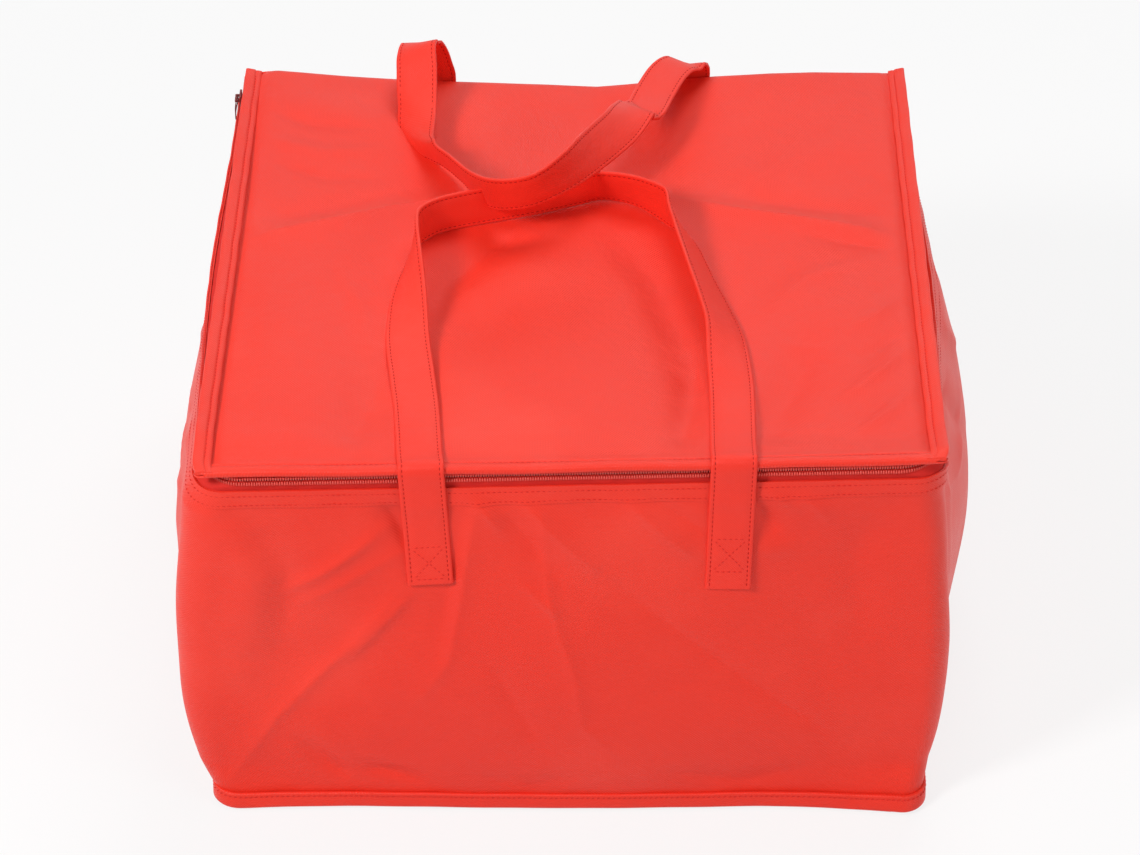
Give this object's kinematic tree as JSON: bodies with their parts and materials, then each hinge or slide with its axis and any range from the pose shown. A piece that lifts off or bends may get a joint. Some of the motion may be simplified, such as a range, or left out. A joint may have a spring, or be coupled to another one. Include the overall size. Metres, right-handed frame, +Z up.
{
  "type": "insulated cooler bag",
  "caption": "Soft square insulated carry bag with a zipped lid that folds open at the back and flat webbing handles lying on the lid.",
  "frame": {"origin": "middle of the underside of the base, halfway between the two side walls and, before they swell, halfway between the front and back walls", "axes": "+X to the right seen from the front, -Y towards the front wall with the sewn handle ends, +Z up"},
  "size_m": [0.5264, 0.4718, 0.3269],
  "materials": {
    "red_cloth": "coated cloth with a fine embossed grid, slight sheen",
    "red_webbing": "same coated cloth, folded and stitched into flat straps",
    "zip_red": "woven tape and moulded coil, dull",
    "white_foam": "closed-cell foam sheet",
    "silver_foil": "metallised plastic film, wrinkled",
    "grey_board": "stiff plastic board",
    "dark_metal": "dark painted metal",
    "dark_cord": "dark coated wire loop"
  },
  "bodies": {
    "bag": {"front_and_side_wrap": "red_cloth", "back_panel": "red_cloth", "base_panel": "red_cloth", "top_hem": "red_cloth", "base_binding": "red_cloth", "rear_left_binding": "red_cloth", "rear_right_binding": "red_cloth", "front_handle_left_end": "red_webbing", "front_handle_right_end": "red_webbing", "rear_handle_left_end": "red_webbing", "rear_handle_right_end": "red_webbing", "zip_lower_tape": "zip_red", "zip_lower_coil": "zip_red", "wrap_foam": "white_foam", "back_foam": "white_foam", "base_foam": "white_foam", "wrap_foil_liner": "silver_foil", "back_foil_liner": "silver_foil", "base_foil_liner": "silver_foil", "base_board": "grey_board"},
    "lid": {"lid_panel": "red_cloth", "lid_foam": "white_foam", "lid_foil_liner": "silver_foil", "lid_left_binding": "red_cloth", "lid_right_binding": "red_cloth", "zip_upper_tape": "zip_red", "zip_upper_coil": "zip_red", "rear_handle_left_riser": "red_webbing", "rear_handle_right_riser": "red_webbing"},
    "zip_slider": {"zip_slider": "dark_metal"},
    "zip_pull": {"zip_pull": "dark_cord"},
    "front_handle": {"front_handle_loop": "red_webbing"},
    "rear_handle": {"rear_handle_loop": "red_webbing"}
  },
  "joints": [
    {"name": "lid_hinge", "type": "hinge", "parent": "bag", "child": "lid", "pos_m": [0, 0.2245, 0.278], "axis": [-1, 0, 0], "range_deg": [0, 120], "deforming": ["front_handle_loop"]},
    {"name": "zip_slider_travel", "type": "slide", "parent": "bag", "child": "zip_slider", "axis": [0, -1, 0], "range_m": [0, 0.39]},
    {"name": "zip_pull_swing", "type": "hinge", "parent": "zip_slider", "child": "zip_pull", "pos_m": [-0.2293, 0.2045, 0.2695], "axis": [0, 0, -1], "range_deg": [0, 160]},
    {"name": "front_handle_swing", "type": "hinge", "parent": "bag", "child": "front_handle", "pos_m": [0, -0.229, 0.2795], "axis": [1, 0, 0], "range_deg": [0, 235], "deforming": ["rear_handle_loop"]},
    {"name": "rear_handle_swing", "type": "hinge", "parent": "lid", "child": "rear_handle", "pos_m": [0, 0.17652, 0.294], "axis": [-1, 0, 0], "range_deg": [0, 135]}
  ]
}
